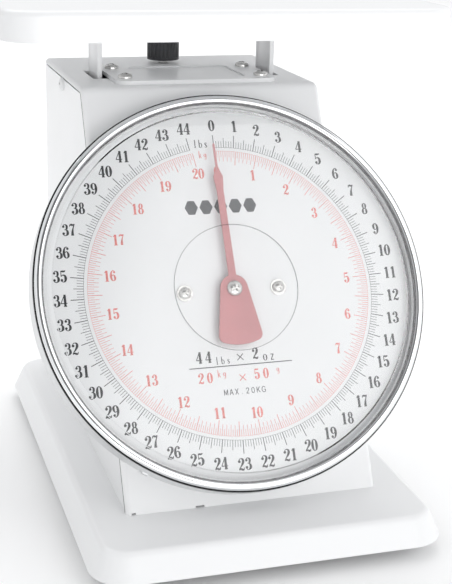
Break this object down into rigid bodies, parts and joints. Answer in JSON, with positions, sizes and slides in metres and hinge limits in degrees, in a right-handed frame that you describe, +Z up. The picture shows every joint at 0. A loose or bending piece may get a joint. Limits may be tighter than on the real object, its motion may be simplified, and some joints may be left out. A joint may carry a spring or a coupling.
{
  "type": "mechanical dial platform scale",
  "caption": "Mechanical dial platform scale: a sloped round dial in a chrome bezel on a boxed white case, with a square platform above it and a wide pressed base below.",
  "frame": {"origin": "on the surface that the scale stands on, in the middle of its outline seen from above", "axes": "+X to the right of a person facing the dial, +Y to the back, +Z up; the dial faces -Y and leans back 29.5 degrees"},
  "size_m": [0.22, 0.296, 0.249],
  "materials": {
    "white_paint": "glossy white powder coat on sheet steel",
    "dial_card": "satin white printed dial plate",
    "chrome_trim": "polished chrome-plated ring",
    "clear_lens": "clear moulded acrylic window",
    "zinc_steel": "zinc-plated sheet steel",
    "screw_steel": "nickel-plated screws",
    "bright_steel": "ground bright steel",
    "spring_steel": "drawn spring wire",
    "brass": "turned brass",
    "red_paint": "satin dull red paint",
    "black_rubber": "matt moulded rubber",
    "black_plastic": "fine-grained moulded plastic",
    "nylon": "natural nylon",
    "black_ink": "printed black ink",
    "red_ink": "printed red ink",
    "grey_ink": "printed grey ink"
  },
  "bodies": {
    "case": {"base_pan": "white_paint", "rubber_feet": "black_rubber", "case_wrap": "white_paint", "side_panel_left": "white_paint", "side_panel_right": "white_paint", "side_screws": "white_paint", "back_cover": "white_paint", "back_screws": "screw_steel", "top_plate": "white_paint", "top_plate_screws": "screw_steel", "chassis": "zinc_steel", "chassis_screws": "screw_steel", "spring_hanger": "zinc_steel", "hanger_screws": "screw_steel", "zero_nut": "screw_steel", "stay_pivot_pins": "bright_steel", "dial_pan": "white_paint", "dial_face": "dial_card", "dial_screws": "screw_steel", "bezel": "chrome_trim", "lens": "clear_lens", "movement_front_plate": "zinc_steel", "movement_back_plate": "zinc_steel", "movement_pillars": "brass", "movement_screws": "screw_steel", "rack_guides": "nylon", "arbor_bushes": "brass", "left_spring": "spring_steel", "right_spring": "spring_steel"},
    "carriage": {"left_upright": "white_paint", "right_upright": "white_paint", "lower_crossbar": "zinc_steel", "crossbar_screws": "screw_steel", "carriage_pins": "bright_steel", "drive_arm": "zinc_steel", "drive_arm_screws": "screw_steel", "drive_pin": "bright_steel", "platform_bracket": "white_paint", "bracket_screws": "screw_steel", "platform": "white_paint", "platform_screws": "screw_steel"},
    "pointer": {"arbor": "bright_steel", "pinion": "brass", "pointer": "red_paint", "pointer_screw": "screw_steel"},
    "rack": {"rack": "zinc_steel"},
    "upper_stay": {"upper_stay": "zinc_steel"},
    "lower_stay": {"lower_stay": "zinc_steel"},
    "zero_adjuster": {"zero_knob": "black_plastic", "zero_screw": "screw_steel"}
  },
  "joints": [
    {"name": "platform_travel", "type": "slide", "parent": "case", "child": "carriage", "axis": [0, 0, -1], "range_m": [0, 0.01918], "stiffness_N_per_m": 10229, "springref_m": -0.0009, "deforming": ["left_spring", "right_spring"]},
    {"name": "pointer_turn", "type": "hinge", "parent": "case", "child": "pointer", "pos_m": [0, -0.062, 0.112], "axis": [0, 0.8704, -0.4924], "range_deg": [0, 350.8]},
    {"name": "rack_slide", "type": "slide", "parent": "case", "child": "rack", "axis": [0, -0.4924, -0.8704], "range_m": [0, 0.02205]},
    {"name": "upper_stay_swing", "type": "hinge", "parent": "case", "child": "upper_stay", "pos_m": [0, 0.088, 0.15641], "axis": [1, 0, 0], "range_deg": [0, 25.74]},
    {"name": "lower_stay_swing", "type": "hinge", "parent": "case", "child": "lower_stay", "pos_m": [0, 0.088, 0.11441], "axis": [1, 0, 0], "range_deg": [0, 25.74]},
    {"name": "zero_knob_turn", "type": "hinge", "parent": "case", "child": "zero_adjuster", "pos_m": [0, 0.078, 0.206], "axis": [0, 0, 1], "range_deg": [-360, 360]}
  ],
  "couplings": [
    {"joint": "pointer_turn", "follows": "platform_travel", "rad_per_m": 319.15},
    {"joint": "rack_slide", "follows": "platform_travel", "ratio": 1.149},
    {"joint": "upper_stay_swing", "follows": "platform_travel", "rad_per_m": 23.408},
    {"joint": "lower_stay_swing", "follows": "platform_travel", "rad_per_m": 23.408}
  ]
}
